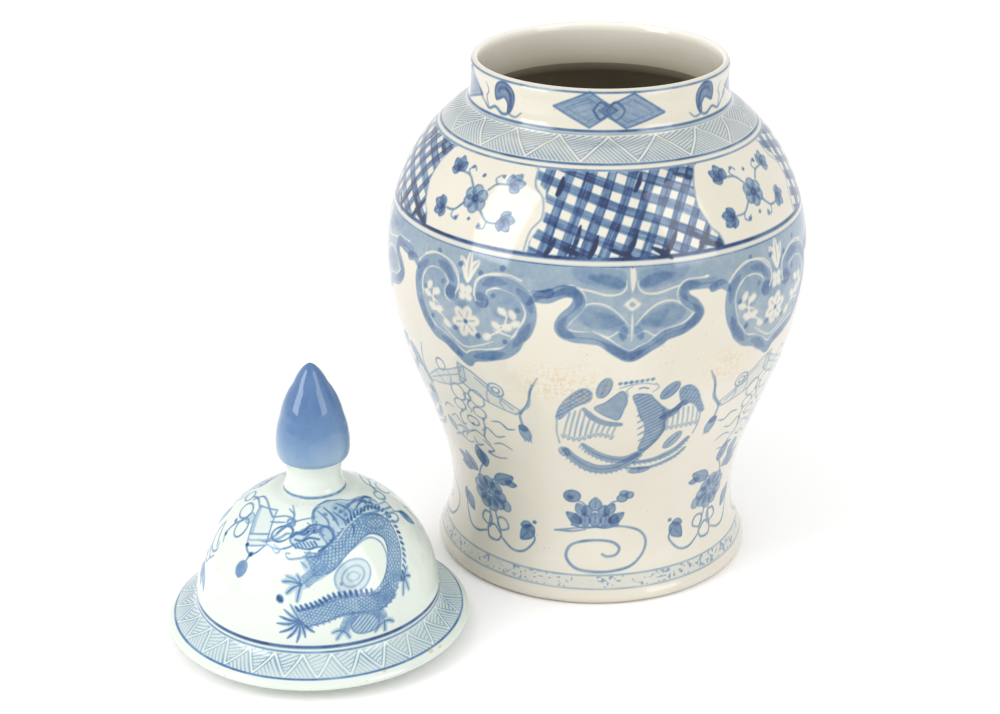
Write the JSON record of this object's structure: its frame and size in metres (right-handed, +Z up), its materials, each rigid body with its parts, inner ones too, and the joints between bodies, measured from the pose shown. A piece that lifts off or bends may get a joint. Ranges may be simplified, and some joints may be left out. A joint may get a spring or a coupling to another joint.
{
  "type": "ginger jar",
  "caption": "Porcelain baluster ginger jar with a flared foot, short open neck and blue painted bands, and a domed lid with a bud finial.",
  "frame": {"origin": "on the table, under the middle of the bounding box of the jar and the lid beside it", "axes": "+Z up along the axes of the jar and the lid; +X to the right seen from the front; +Y from front to back, with the lid standing to the front left of the jar"},
  "size_m": [0.369, 0.321, 0.305],
  "materials": {
    "jar_glaze": "gloss, ivory glaze over cobalt painting",
    "jar_foot": "gloss ivory glaze, bare clay on the contact ring",
    "jar_inside": "gloss, grey-cream glaze",
    "lid_glaze": "gloss, cool white glaze over cobalt painting",
    "lid_collar": "satin, bare clay on the lower edge",
    "finial_glaze": "gloss, mid-blue glaze"
  },
  "bodies": {
    "jar": {"foot_ring": "jar_foot", "base_disc": "jar_inside", "lower_body": "jar_glaze", "upper_body": "jar_glaze", "neck_collar": "jar_glaze"},
    "lid": {"locating_ring": "lid_collar", "lid_flange": "lid_glaze", "lid_dome": "lid_glaze", "finial_stem": "lid_glaze", "finial_bud": "finial_glaze"}
  },
  "joints": [
    {"name": "lid_lift", "type": "slide", "parent": "jar", "child": "lid", "axis": [-0.1422, -0.0996, 0.9848], "range_m": [0, 0.33]}
  ]
}
